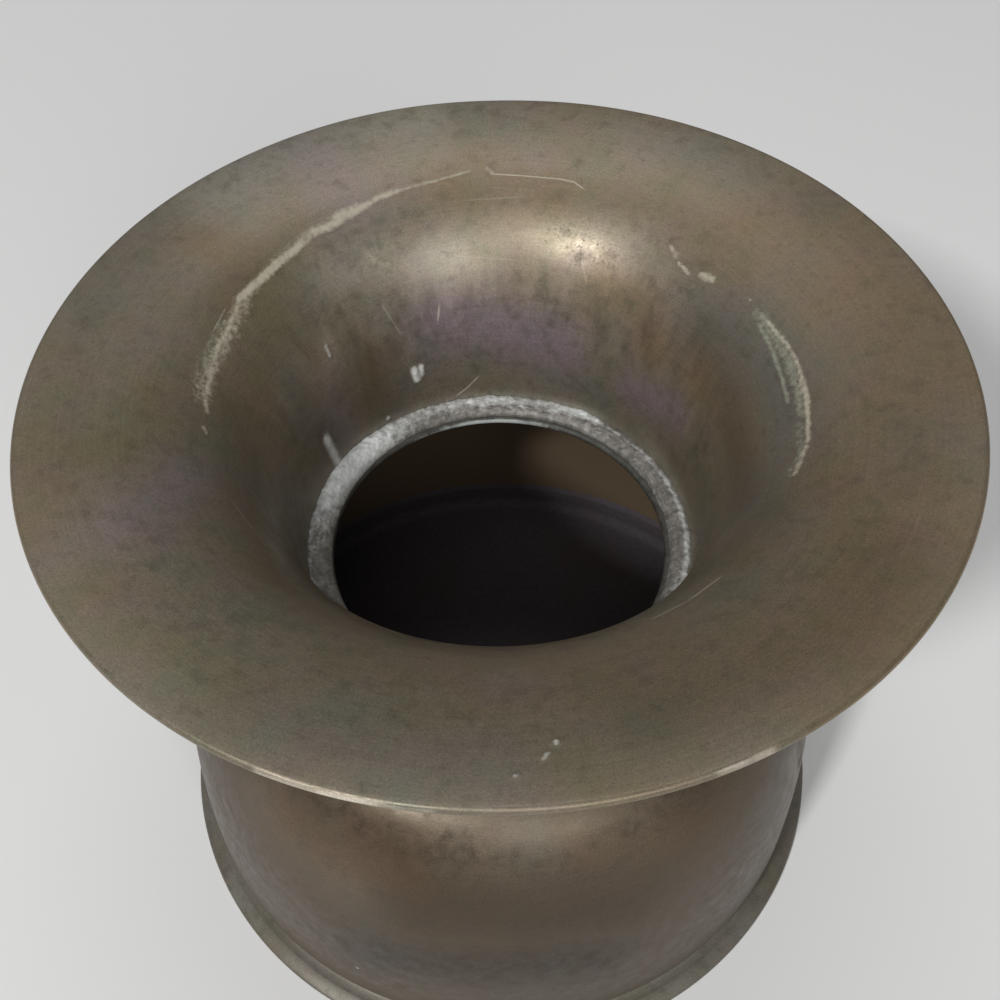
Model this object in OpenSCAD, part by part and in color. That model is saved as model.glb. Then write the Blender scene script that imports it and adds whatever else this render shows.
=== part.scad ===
// Brass spittoon: a spun mouth soldered onto a spun bowl, on a coved and weighted foot.
// The origin is the centre of the flat underside, +Z is up, all sizes are in millimetres.

/* [Overall] */
// Diameter of the saucer rim, over its rolled edge
rim_d = 270; // [260:1:290]
// Height from the floor to the top of the rolled edge
height = 216; // [205:1:230]

/* [Mouth] */
// Thickness of the sheet that the saucer and funnel are spun from
mouth_sheet = 0.7; // [0.5:0.1:1]
// Diameter of the wire that the rim is rolled round
rim_wire_d = 1.4; // [1:0.1:2.4]
// How far round the wire the rim is rolled, in degrees
roll_turn = 285; // [240:5:290]
// Fall of the saucer where it leaves the rolled edge, in degrees
saucer_fall = 6; // [2:1:10]
// Length over which the saucer holds that fall before it curves down
saucer_reach = 49; // [40:1:54]
// Lean of the funnel wall at its lower end, in degrees from upright
funnel_lean = 4; // [2:1:8]
// Length over which the funnel wall holds that lean below the curve
funnel_reach = 49; // [38:1:54]
// Depth of the mouth, from the top of the rolled edge to the collar
mouth_depth = 82; // [72:1:90]

/* [Throat] */
// Diameter of the clear hole through the collar
throat_d = 109.6; // [96:0.2:118]
// Width of the collar's ledge, from the throat hole out to the funnel wall
ledge_w = 8; // [5:0.2:11]
// Thickness of the collar
collar_sheet = 0.8; // [0.6:0.05:0.85]
// Length of the collar's sleeve down inside the neck
sleeve_len = 9; // [6:1:10]
// Radius of the rolled lip round the throat hole
lip_r = 1.6; // [1.2:0.1:2]
// Radius of the corner between the collar's sleeve and its top
collar_corner_r = 0.9; // [0.9:0.05:1]
// Height that the solder ring climbs up the funnel wall
throat_solder_h = 5.4; // [3:0.2:7]

/* [Bowl] */
// Thickness of the sheet that the bowl is spun from
bowl_sheet = 0.8; // [0.6:0.1:1.2]
// Widest diameter of the bowl, just above its heel
bowl_d = 235; // [205:1:260]
// Squareness of the bowl's wall: 2 is an ellipse, and more is fuller
bowl_fullness = 2.6; // [2:0.1:3.4]
// Radius of the heel, where the wall turns under
heel_r = 6; // [4:0.5:9]
// Width of the flange that is turned in below the heel
heel_flange_w = 8; // [5:0.5:12]
// Depth from the collar down to the shoulder's top
shoulder_drop = 12; // [11:0.5:16]
// Radius of the hollow curve from the shoulder up into the neck
neck_curve_r = 5; // [3:0.5:6]
// Length of the neck that laps up over the funnel's end
neck_lap = 6; // [3:0.5:8]

/* [Floor pan] */
// Thickness of the pan that closes the bowl's floor
pan_sheet = 0.7; // [0.5:0.1:1]
// Height of the pan's turned-up edge above its floor
pan_edge_h = 11; // [9:0.5:16]
// Height of the solder seam along the pan's edge
pan_solder_h = 3; // [1.5:0.5:5]

/* [Foot] */
// Thickness of the sheet that the foot is spun from
foot_sheet = 0.9; // [0.6:0.1:1.2]
// How far the foot's rolled edge stands out beyond the bowl
foot_spread = 5.9; // [4:0.1:12]
// Height of the foot, from the floor to the shelf that carries the bowl
foot_h = 9; // [8:0.5:16]
// Outer radius of the foot's rolled edge
foot_roll_r = 1.3; // [1.2:0.1:1.5]
// Width of the sloping band between the rolled edge and the step
band_w = 4.2; // [3:0.2:5]
// Height of the step, where the band meets the hollow cove
step_h = 4.4; // [4:0.1:5]
// How far the shelf runs out past the start of the heel's curve, to the hollow cove
shelf_lap = 0.6; // [0.5:0.1:1.2]
// Width of the shelf that the bowl stands on
shelf_w = 12; // [8:0.5:16]
// Width of the hem that is turned in under the foot
hem_w = 5; // [4:0.5:6]
// How far round the heel the solder fillet reaches, in degrees from level
heel_solder_angle = -62; // [-68:1:-55]

/* [Base] */
// Thickness of the plate that closes the underside
base_sheet = 0.8; // [0.6:0.1:1]
// Width of the groove between the plate's panel and the foot's hem
groove_w = 4; // [2.5:0.5:6]
// Width of the slope between the plate's panel and its margin
joggle_w = 1.2; // [1:0.1:2]

/* [Ballast] */
// Gap between the cast weight and the bowl's turned-in flange
ballast_gap = 6.5; // [5:0.5:20]
// Thickness of the weight's web
ballast_web = 3.6; // [2.5:0.1:5]
// Width of the weight's raised rim
ballast_rim_w = 9; // [6:0.5:20]
// Diameter of the hole through the weight
ballast_hole_d = 36; // [20:1:60]

/* [Fits] */
// Room left for solder between two soldered sheets
seat = 0.3; // [0.2:0.05:0.4]
// Room round the wire in the rolled edge
wire_gap = 0.05; // [0.02:0.01:0.1]
// Film between a solder seam and the sheet it wets
film = 0.05; // [0.03:0.01:0.1]

/* [Hidden] */
$fn = 96;
curve_steps = 30;
arc_step = 15;

throat_r = throat_d / 2;

// Levels, from the floor up
base_top = base_sheet;
hem_top = foot_sheet;
heel_z = foot_h + heel_r;
pan_z = foot_h + bowl_sheet + seat;
collar_z = height - mouth_depth;
shoulder_z = collar_z - shoulder_drop;
neck_top = collar_z + neck_lap;

// Rolled edge
bead_r = rim_wire_d / 2 + wire_gap + mouth_sheet;
bead_c = [rim_d / 2 - bead_r, height - bead_r];
roll_start = 90 + saucer_fall;

// Mouth: one curve from the rolled edge to the funnel's lower end
mouth_start = bead_c + bead_r * [cos(roll_start), sin(roll_start)];
mouth_end = [throat_r + ledge_w, collar_z];
mouth_curve = [
    mouth_start,
    mouth_start - saucer_reach * [cos(saucer_fall), sin(saucer_fall)],
    mouth_end + funnel_reach * [sin(funnel_lean), cos(funnel_lean)],
    mouth_end
];

// Neck, sized to slip over the funnel at the neck's top
funnel_end_wall = mouth_sheet / cos(funnel_lean);
neck_in_r = mouth_point(mouth_t(neck_top)).x + funnel_end_wall + seat;
neck_out_r = neck_in_r + bowl_sheet;
collar_r = neck_in_r - seat;

// Bowl
bowl_r = bowl_d / 2;
heel_c = [bowl_r - heel_r, heel_z];
shoulder_r = neck_out_r + neck_curve_r;
neck_curve_c = [shoulder_r, shoulder_z + neck_curve_r];

// Foot
foot_r = bowl_r + foot_spread;
foot_roll_c = [foot_r - foot_roll_r, foot_roll_r];
step_r = foot_roll_c.x - band_w + foot_roll_r;
shelf_out_r = heel_c.x + shelf_lap;
cove_w = step_r - shelf_out_r;
hem_in_r = foot_roll_c.x - hem_w;

// Base plate
margin_out_r = step_r;
margin_in_r = hem_in_r - groove_w;
panel_r = margin_in_r - joggle_w;

function unit(v) = v / norm(v);
function left(v) = [-v.y, v.x];

// Points on an arc about c, from angle a0 to a1
function arc(c, r, a0, a1) =
    let (n = max(2, ceil(abs(a1 - a0) / arc_step)))
    [for (i = [0:n]) let (a = a0 + (a1 - a0) * i / n) c + r * [cos(a), sin(a)]];

// A cubic curve through four control points, and its direction of travel
function bezier(p, t) =
    pow(1 - t, 3) * p[0] + 3 * pow(1 - t, 2) * t * p[1]
    + 3 * (1 - t) * t * t * p[2] + t * t * t * p[3];
function bezier_dir(p, t) =
    unit(pow(1 - t, 2) * (p[1] - p[0]) + 2 * (1 - t) * t * (p[2] - p[1])
    + t * t * (p[3] - p[2]));

// The mouth's upper face, its lower face, and the place on the curve at a height
function mouth_point(t) = bezier(mouth_curve, t);
function mouth_under(t) = mouth_point(t) + mouth_sheet * left(bezier_dir(mouth_curve, t));
function mouth_t(z, lo = 0, hi = 1, n = 24) =
    n == 0 ? (lo + hi) / 2
    : mouth_point((lo + hi) / 2).y > z ? mouth_t(z, (lo + hi) / 2, hi, n - 1)
    : mouth_t(z, lo, (lo + hi) / 2, n - 1);

// The normal of a path at point i, lengthened so that a sheet keeps its thickness
function mitre(path, i) =
    let (
        before = left(unit(path[max(i, 1)] - path[max(i, 1) - 1])),
        last = len(path) - 1,
        after = left(unit(path[min(i, last - 1) + 1] - path[min(i, last - 1)])),
        n = unit(before + after)
    )
    n / (n * before);

// A sheet of even thickness on the left of its path, as a closed outline
function sheet(path, thickness) = concat(
    path,
    [for (i = [len(path) - 1:-1:0]) path[i] + thickness * mitre(path, i)]
);

// The bowl's outer face: flange, heel, wall, shoulder and neck
function bowl_wall(z0, z1, r0, r1) =
    [for (i = [1:curve_steps])
        let (a = 90 * i / curve_steps, e = 2 / bowl_fullness)
        [r1 + (r0 - r1) * pow(cos(a), e), z0 + (z1 - z0) * pow(sin(a), e)]];
bowl_path = concat(
    [[heel_c.x - heel_flange_w, foot_h]],
    arc(heel_c, heel_r, -90, 0),
    bowl_wall(heel_z, shoulder_z, bowl_r, shoulder_r),
    [for (p = arc(neck_curve_c, neck_curve_r, -90, -180)) if (p.x < shoulder_r) p],
    [[neck_out_r, neck_top]]
);

// The inner radius of the bowl's wall at a height, close above the heel
wall_radii = [for (p = bowl_path) if (p.y >= heel_z && p.y < shoulder_z) [p.y, p.x]];
function bowl_inside(z) = lookup(z, wall_radii) - bowl_sheet;

// The foot's outer face: hem, rolled edge, sloping band, step, cove and shelf
band_angle = 90 - atan2(step_h - 2 * foot_roll_r, band_w - foot_roll_r);
cove_top = foot_h - foot_sheet / 2;
function cove(a) = [step_r - cove_w * cos(a), cove_top - (cove_top - step_h) * sin(a)];
foot_path = concat(
    [[hem_in_r, 0]],
    arc(foot_roll_c, foot_roll_r, -90, band_angle),
    [for (a = [90:-arc_step:0]) cove(a)],
    [[shelf_out_r - foot_sheet / 2, foot_h], [shelf_out_r - shelf_w, foot_h]]
);

// The saucer and funnel, one spinning whose edge is rolled round the wire
module mouth_funnel() {
    upper = [for (i = [curve_steps:-1:1]) mouth_point(i / curve_steps)];
    under = [for (i = [1:curve_steps - 1]) mouth_under(i / curve_steps)];
    foot = [mouth_end.x + funnel_end_wall, collar_z];
    color("#6f6556") rotate_extrude() polygon(concat(
        upper,
        arc(bead_c, bead_r, roll_start, roll_start - roll_turn),
        arc(bead_c, bead_r - mouth_sheet, roll_start - roll_turn, roll_start),
        under,
        [foot]
    ));
}

// The wire that stiffens the rim, hidden in the rolled edge
module rim_wire() {
    color("#5d5d5f") rotate_extrude() translate(bead_c) circle(r = rim_wire_d / 2);
}

// The collar inside the neck, with a rolled lip round the throat hole
module throat_collar() {
    path = concat(
        [[collar_r, collar_z - sleeve_len]],
        arc([collar_r - collar_corner_r, collar_z - collar_corner_r], collar_corner_r, 0, 90),
        arc([throat_r + lip_r, collar_z - lip_r], lip_r, 90, 180)
    );
    color("#77756f") rotate_extrude() polygon(sheet(path, collar_sheet));
}

// The thick ring of solder between the funnel's end and the collar
module throat_solder() {
    base_r = throat_r + lip_r;
    base_z = collar_z + film;
    climb = throat_solder_h - film;
    wall = [for (i = [0:3]) mouth_point(mouth_t(base_z + climb * i / 3)) - [film, 0]];
    top_r = wall[3].x;
    crown = [for (a = [75:-arc_step:0]) [top_r - (top_r - base_r) * cos(a), base_z + climb * sin(a)]];
    color("#a3a49f") rotate_extrude() polygon(concat(wall, crown));
}

// The bowl, spun upside down as a dome whose neck stands over the funnel's end
module body_bowl() {
    color("#6d5d4a") rotate_extrude() polygon(sheet(bowl_path, bowl_sheet));
}

// The pan that closes the bowl's floor, lying on the turned-in flange
module floor_pan() {
    turn_r = heel_r - bowl_sheet - seat;
    path = concat(
        [[0, pan_z]],
        arc(heel_c, turn_r, -90, 0),
        [[heel_c.x + turn_r, pan_z + pan_edge_h]]
    );
    color("#5c5246") rotate_extrude() polygon(sheet(path, pan_sheet));
}

// The solder seam on the pan's edge, against the inside of the bowl
module floor_solder() {
    pan_edge_r = heel_c.x + heel_r - bowl_sheet - seat;
    low = pan_z + pan_edge_h + film;
    top = low + pan_solder_h;
    color("#8d8e8b") rotate_extrude() polygon([
        [pan_edge_r - pan_sheet, low], [bowl_inside(low) - film, low], [bowl_inside(top) - film, top]
    ]);
}

// The coved and stepped foot, its edge rolled and its hem turned in
module foot_ring() {
    color("#6b6862") rotate_extrude() polygon(sheet(foot_path, foot_sheet));
}

// The solder fillet in the corner between the bowl's heel and the foot's shelf
module foot_solder() {
    shelf_edge = [shelf_out_r - foot_sheet / 2, foot_h + film];
    color("#83827d") rotate_extrude() polygon(concat(
        [shelf_edge],
        arc(heel_c, heel_r + film, -acos((shelf_edge.x - heel_c.x) / heel_r), heel_solder_angle),
        [cove(arc_step) + [film, 0], cove(0) + [film, 0]]
    ));
}

// The cast weight in the foot, held between the base plate and the bowl's floor
module ballast_weight() {
    top = pan_z - seat;
    r = heel_c.x - heel_flange_w - ballast_gap;
    hole_r = ballast_hole_d / 2;
    color("#3c3a38") rotate_extrude() polygon([
        [hole_r, base_top], [r, base_top], [r, top], [r - ballast_rim_w, top],
        [r - ballast_rim_w, base_top + ballast_web], [hole_r, base_top + ballast_web]
    ]);
}

// The plate that closes the underside, its margin raised to lie on the hem
module base_plate() {
    path = [[0, 0], [panel_r, 0], [margin_in_r, hem_top], [margin_out_r, hem_top]];
    color("#6a5f4e") rotate_extrude() polygon(sheet(path, base_sheet));
}

// The solder seam in the groove between the plate's panel and the hem
module base_solder() {
    color("#85857f") rotate_extrude() polygon([
        [margin_in_r + film, hem_top - film], [panel_r + joggle_w / 2, film], [hem_in_r - film, film],
        [hem_in_r - film, hem_top - film]
    ]);
}

mouth_funnel();
rim_wire();
throat_collar();
throat_solder();
body_bowl();
floor_pan();
floor_solder();
foot_ring();
foot_solder();
ballast_weight();
base_plate();
base_solder();
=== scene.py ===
import math

import bpy
import numpy as np
from mathutils import Matrix, Vector, noise


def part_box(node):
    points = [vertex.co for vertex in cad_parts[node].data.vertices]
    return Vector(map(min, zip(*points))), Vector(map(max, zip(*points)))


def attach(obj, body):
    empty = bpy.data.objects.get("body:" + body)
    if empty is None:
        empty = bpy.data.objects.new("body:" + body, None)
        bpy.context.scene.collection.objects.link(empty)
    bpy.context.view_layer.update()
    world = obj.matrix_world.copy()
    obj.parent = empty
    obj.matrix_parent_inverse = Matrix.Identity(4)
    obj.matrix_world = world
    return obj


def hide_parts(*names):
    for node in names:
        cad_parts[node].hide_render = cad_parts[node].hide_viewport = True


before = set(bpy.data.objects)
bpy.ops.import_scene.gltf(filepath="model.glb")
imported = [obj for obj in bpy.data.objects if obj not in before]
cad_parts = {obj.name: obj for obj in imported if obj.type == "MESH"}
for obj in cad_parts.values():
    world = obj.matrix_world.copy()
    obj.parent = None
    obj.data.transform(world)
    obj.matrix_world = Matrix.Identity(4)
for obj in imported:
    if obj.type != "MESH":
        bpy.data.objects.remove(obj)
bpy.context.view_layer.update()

mm = 0.001


# sRGB hex to the linear colour that the shaders take
def linear(hexColour):
    channels = [int(hexColour[i:i + 2], 16) / 255 for i in (1, 3, 5)]
    return (*[c / 12.92 if c <= 0.04045 else ((c + 0.055) / 1.055) ** 2.4 for c in channels], 1.0)


# adds one node, sets it up and links it; a stops setting fills a colour ramp
def addNode(material, kind, settings, inputs):
    tree = material.node_tree
    node = tree.nodes.new(kind)
    for key, value in settings.items():
        if key != "stops":
            setattr(node, key, value)
            continue
        ramp = node.color_ramp
        while len(ramp.elements) < len(value):
            ramp.elements.new(0.5)
        for element, (place, colour) in zip(ramp.elements, value):
            element.position = place
            element.color = linear(colour)
    for key, value in inputs.items():
        if isinstance(value, bpy.types.NodeSocket):
            tree.links.new(value, node.inputs[key])
        else:
            node.inputs[key].default_value = value
    return node


# the frame gives every size that the finer pieces share with the solids
mouthLow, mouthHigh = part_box("mouth_funnel")
wireLow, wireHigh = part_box("rim_wire")
collarLow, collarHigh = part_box("throat_collar")
ringLow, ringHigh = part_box("throat_solder")
bowlLow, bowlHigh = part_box("body_bowl")
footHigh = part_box("foot_ring")[1]
wireR = (wireHigh.z - wireLow.z) / 2
beadC = (wireHigh.x - wireR, (wireHigh.z + wireLow.z) / 2)
rimR = mouthHigh.x
beadR = rimR - beadC[0]
collarZ = mouthLow.z


# the radii of a solid's points, above a given height
def radiiOf(node, lowest=0):
    return [math.hypot(v.co.x, v.co.y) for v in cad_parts[node].data.vertices if v.co.z > lowest]


neckR = max(radiiOf("body_bowl", bowlHigh.z - 0.01 * mm))
collarIn = min(radiiOf("throat_collar"))


def addObject(name, data):
    made = bpy.data.objects.new(name, data)
    bpy.context.collection.objects.link(made)
    return made


# camera: its place is in rim radii from the middle of the rim, as read off the rim and foot in the photo
cameraView = dict(
    distance=2.634, height=45.49, pitch=51.19, yaw=0.105, roll=-0.584, lens=45.0, sensor=36.0,
    clip=(0.01, 20.0), rimLevel=1.574, photoSize=1000,
)


def makeCamera():
    v = cameraView
    up, down, turn, lean = [math.radians(v[k]) for k in ("height", "pitch", "yaw", "roll")]
    away = v["distance"] * rimR
    place = Vector((0, -away * math.cos(up), v["rimLevel"] * rimR + away * math.sin(up)))
    ahead = Vector((math.sin(turn) * math.cos(down), math.cos(turn) * math.cos(down), -math.sin(down)))
    right = ahead.cross(Vector((0, 0, 1))).normalized()
    top = right.cross(ahead)
    right, top = (right * math.cos(lean) + top * math.sin(lean),
                  top * math.cos(lean) - right * math.sin(lean))
    data = bpy.data.cameras.new("photoCamera")
    data.lens, data.sensor_width = v["lens"], v["sensor"]
    data.clip_start, data.clip_end = v["clip"]
    camera = addObject("photoCamera", data)
    turned = Matrix((right, top, -ahead)).transposed().to_4x4()
    camera.matrix_world = Matrix.Translation(place) @ turned
    bpy.context.scene.camera = camera
    return camera


camera = makeCamera()
print("camera set")


def arc(centre, radius, start, end, steps):
    angles = [math.radians(start + (end - start) * i / steps) for i in range(steps + 1)]
    return [(centre[0] + radius * math.cos(a), centre[1] + radius * math.sin(a)) for a in angles]


def bezier(points, t):
    k = ((1 - t) ** 3, 3 * (1 - t) ** 2 * t, 3 * (1 - t) * t * t, t ** 3)
    return tuple(sum(w * p[i] for w, p in zip(k, points)) for i in (0, 1))


# offsets an open profile to the left of its travel
def offset(path, thickness):
    p = np.array(path)
    d = np.gradient(p, axis=0)
    d /= np.linalg.norm(d, axis=1)[:, None]
    return [tuple(q) for q in p + thickness * np.stack([-d[:, 1], d[:, 0]], axis=1)]


# keeps one number per point of a mesh, for its material to read
def keepOn(mesh, name, values):
    attribute = mesh.attributes.get(name) or mesh.attributes.new(name, "FLOAT", "POINT")
    attribute.data.foreach_set("value", np.asarray(values, dtype=np.float32).ravel())


def pointsOf(mesh, kind="co"):
    values = np.empty(len(mesh.vertices) * 3)
    mesh.vertices.foreach_get(kind, values)
    return values.reshape(-1, 3)


# grids of angles, radii and heights as a list of points
def turnedPoints(angle, r, z):
    return np.stack([r * np.cos(angle), r * np.sin(angle), z], axis=2).reshape(-1, 3)


# the angle, radius and height of each point of a piece
def roundPlaces(piece):
    p = pointsOf(piece.data)
    return np.arctan2(p[:, 1], p[:, 0]), np.hypot(p[:, 0], p[:, 1]), p[:, 2]


# spins a closed profile into a mesh; shape moves its points, given their angle, radius and height
def spin(name, profile, steps, shape=None):
    p = np.array(profile)
    angle = np.linspace(0, 2 * math.pi, steps, endpoint=False)[:, None]
    r, z = np.broadcast_to(p[:, 0], (steps, len(p))), np.broadcast_to(p[:, 1], (steps, len(p)))
    angle = np.broadcast_to(angle, r.shape)
    if shape:
        angle, r, z = shape(angle, r, z)
    i, j = np.meshgrid(np.arange(steps), np.arange(len(p)), indexing="ij")
    nextI, nextJ = (i + 1) % steps, (j + 1) % len(p)
    corners = [i * len(p) + j, nextI * len(p) + j, nextI * len(p) + nextJ, i * len(p) + nextJ]
    faces = np.stack(corners, axis=2)
    if (p[:, 0] * np.roll(p[:, 1], -1) - np.roll(p[:, 0], -1) * p[:, 1]).sum() < 0:
        faces = faces[:, :, ::-1]  # a profile drawn clockwise would turn its faces inwards
    mesh = bpy.data.meshes.new(name)
    mesh.from_pydata(turnedPoints(angle, r, z).tolist(), [], faces.reshape(-1, 4).tolist())
    mesh.polygons.foreach_set("use_smooth", [True] * len(mesh.polygons))
    travel = np.concatenate([[0], np.cumsum(np.linalg.norm(np.diff(p, axis=0), axis=1))])
    keepOn(mesh, "along", np.tile(travel, steps))
    mesh.update()
    return addObject(name, mesh)


# a smooth bump of height one, fading out at a given width in degrees round a place
def swell(angle, centre, width):
    away = np.angle(np.exp(1j * (angle - math.radians(centre))))
    return np.exp(-(away / math.radians(width)) ** 2)


# smooth noise at many places, for lumps that are part of the shape
def lumps(places, size):
    return np.array([noise.noise(Vector(p) / size) for p in places])


# the place and facing of a piece where the photo shows it at x, y
def seenAt(piece, x, y):
    v = cameraView
    reach, middle = v["sensor"] / v["lens"] / v["photoSize"], v["photoSize"] / 2
    toward = camera.matrix_world.to_3x3() @ Vector(((x - middle) * reach, (middle - y) * reach, -1))
    found, place, facing, _ = piece.ray_cast(camera.matrix_world.translation, toward.normalized())
    return (place, facing) if found else None


# lays a line of places seen in the photo onto a piece: step is in pixels of the photo, and a place
# closer than apart to the last one is left out
def laidLine(piece, seen, step=9, apart=0.05 * mm):
    line = []
    for (x0, y0), (x1, y1) in zip(seen, seen[1:] or seen):
        count = max(1, round(math.hypot(x1 - x0, y1 - y0) / step))
        for i in range(count + 1):
            hit = seenAt(piece, x0 + (x1 - x0) * i / count, y0 + (y1 - y0) * i / count)
            if hit and not (line and (hit[0] - line[-1][0]).length < apart):
                line.append(hit)
    return line


# how far points are from a line on the surface, how far to its side, and how far past its ends
def awayFrom(points, line):
    away = np.full(len(points), np.inf)
    side, past = np.zeros(len(points)), np.zeros(len(points))
    for (start, facing), (end, _) in zip(line, line[1:] or line):
        along = np.array(end - start)
        length = max(np.linalg.norm(along), 1e-6)
        along /= length
        across = np.cross(along, np.array(facing))
        from0 = points - np.array(start)
        travel = from0 @ along
        distance = np.linalg.norm(from0 - np.clip(travel, 0, length)[:, None] * along, axis=1)
        closer = distance < away
        away[closer] = distance[closer]
        side[closer] = (from0 @ across)[closer]
        past[closer] = np.maximum(np.maximum(-travel, travel - length), 0)[closer]
    return away, side, past


def facesCamera(piece):
    points, facing = pointsOf(piece.data), pointsOf(piece.data, "normal")
    return ((np.array(camera.matrix_world.translation) - points) * facing).sum(axis=1) > 0


# a stroke reaches so many of its widths, and a scratch so far from its line; a scratch fades past its
# ends, and farSide is the distance to the side, in widths, where there is no scratch
paintReach = dict(stroke=2.6, scratch=5 * mm, scratchEnd=1.2 * mm, farSide=9.0)


# brushes strokes of one film onto the side of a piece that faces the camera
def brush(piece, film, strokes):
    points, seenSide = pointsOf(piece.data), facesCamera(piece)
    painted = np.zeros(len(points))
    for stroke in strokes:
        width = stroke["width"] * mm
        line = laidLine(piece, stroke["seen"])
        if not line:
            print(film, "stroke misses the piece at", stroke["seen"][0])
            continue
        ends, reach = np.array([place for place, _ in line]), paintReach["stroke"] * width
        boxed = (points > ends.min(axis=0) - reach) & (points < ends.max(axis=0) + reach)
        near = seenSide & boxed.all(axis=1)
        away = awayFrom(points[near], line)[0]
        painted[near] = np.maximum(painted[near], stroke["strength"] * np.exp(-(away / width) ** 2))
    keepOn(piece.data, film, painted)
    return painted


# draws fine scratches: the distance to the side of the line stays sharp between the mesh's points
def scratch(piece, strokes):
    points, seenSide = pointsOf(piece.data), facesCamera(piece)
    far = paintReach["farSide"]
    side, near = np.full(len(points), far), np.zeros(len(points))
    for stroke in strokes:
        away, across, past = awayFrom(points, laidLine(piece, stroke["seen"]))
        fade = np.exp(-(past / paintReach["scratchEnd"]) ** 2) * stroke["strength"]
        fade *= (away < paintReach["scratch"]) & seenSide
        closer = fade > near
        side[closer] = np.clip(across[closer] / (stroke["width"] * mm), -far, far)
        near[closer] = fade[closer]
    keepOn(piece.data, "scratchSide", side)
    keepOn(piece.data, "scratchNear", near)


# moves a piece's points along their normals
def press(piece, amounts):
    mesh = piece.data
    moved = pointsOf(mesh) + pointsOf(mesh, "normal") * amounts[:, None]
    mesh.vertices.foreach_set("co", moved.ravel())
    mesh.update()


def setMaterial(piece, material):
    piece.data.materials.clear()
    piece.data.materials.append(material)


def finish(piece, material, slotName, *nodes):
    setMaterial(piece, material)
    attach(piece, "root")
    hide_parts(*nodes)


# mouth: the saucer and funnel are one curve, whose saucer handle is 2 mm longer than the solid's, to
# put the shine where the photo has it; a wave has its count round the rim, its share and its start, and
# wearFrom and the start of the painted highlight on the bead are places across the bead, from -1 at its
# inner side to 1 at its outer one
mouthShape = dict(
    saucerReach=51 * mm, saucerFall=6, funnelReach=49 * mm, funnelLean=4, funnelEnd=62.8 * mm,
    rollTurn=285, rollSteps=32, wireGap=0.05 * mm, alongSteps=190, underStep=5, roundSteps=840,
    outOfRound=0.5 * mm, waves=((2, 0.28, 0.6), (3, 0.14, 2.0), (5, 0.08, 1.1)),
    sag=4.2 * mm, sagAt=160, pushedIn=3.3 * mm, pushedAt=270, pushedWidth=62,
    pushedFrom=4 * mm, pushedOver=26 * mm, limeRelief=0.16 * mm, splashRelief=0.4 * mm,
    crumbSize=1.4 * mm, tinCreep=2.6 * mm, paintedUnderShade=0.65, wearFrom=0.3, beadHighlightFrom=-0.45,
)


# the throat's ring was built up by hand: fullest at its back left, and starved at the front; height
# is a share of the solid ring's, and each swell has its angle, its spread in degrees and its height
solderFill = dict(
    height=0.56, swells=((147, 24, 0.32), (62, 7, 0.14), (96, 26, 0.14), (195, 25, -0.16)),
)


def solderShare(angle):
    s = solderFill
    return s["height"] + sum(height * swell(angle, at, width) for at, width, height in s["swells"])


def solderTop(angle):
    return ringLow.z + (ringHigh.z - ringLow.z) * solderShare(angle)


def mouthProfile():
    s = mouthShape
    sheet = beadR - wireR - s["wireGap"]
    start = 90 + s["saucerFall"]
    fall, lean = math.radians(s["saucerFall"]), math.radians(s["funnelLean"])
    outer = arc(beadC, beadR, start, start - s["rollTurn"], s["rollSteps"])
    first, last = outer[0], (s["funnelEnd"], collarZ)
    handles = [
        first,
        (first[0] - s["saucerReach"] * math.cos(fall), first[1] - s["saucerReach"] * math.sin(fall)),
        (last[0] + s["funnelReach"] * math.sin(lean), last[1] + s["funnelReach"] * math.cos(lean)),
        last,
    ]
    upper = [bezier(handles, i / s["alongSteps"]) for i in range(s["alongSteps"] + 1)]
    under = offset(upper, sheet)
    under[-1] = (last[0] + sheet, collarZ)
    inner = arc(beadC, beadR - sheet, start - s["rollTurn"], start, s["rollSteps"] // 2)
    return upper[::-1][:-1] + outer + inner[:-1] + under[::s["underStep"]]


# the old rim is a little out of round, has sunk towards its back left, and its near side is pushed in
def bentMouth(angle, r, z):
    s = mouthShape
    out = np.clip((r - s["funnelEnd"]) / (rimR - s["funnelEnd"]), 0, 1) ** 2
    wave = sum((share * np.sin(count * angle + start) for count, share, start in s["waves"]), 0.5)
    tilt = 0.5 + 0.5 * np.cos(angle - math.radians(s["sagAt"]))
    ripple = 0.03 * (1 + np.sin(5 * angle + 0.7)) + 0.02 * (1 + np.sin(9 * angle))
    sunk = s["sag"] * (tilt + ripple * (1 - np.abs(np.cos(angle))))
    rise = np.clip((z - collarZ - s["pushedFrom"]) / s["pushedOver"], 0, 1)
    nearSide = swell(angle, s["pushedAt"], s["pushedWidth"]) ** (1 + 2 * out)
    pushed = s["pushedIn"] * nearSide * rise * rise * (3 - 2 * rise) * (1 - 0.5 * out)
    return angle, r - out * s["outOfRound"] * wave - pushed, z - out * sunk


mouth = spin("spunMouth", mouthProfile(), mouthShape["roundSteps"], bentMouth)
rimWire = spin("rimWire", arc(beadC, wireR, 0, 345, 23), 360, bentMouth)
bpy.context.view_layer.update()

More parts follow.
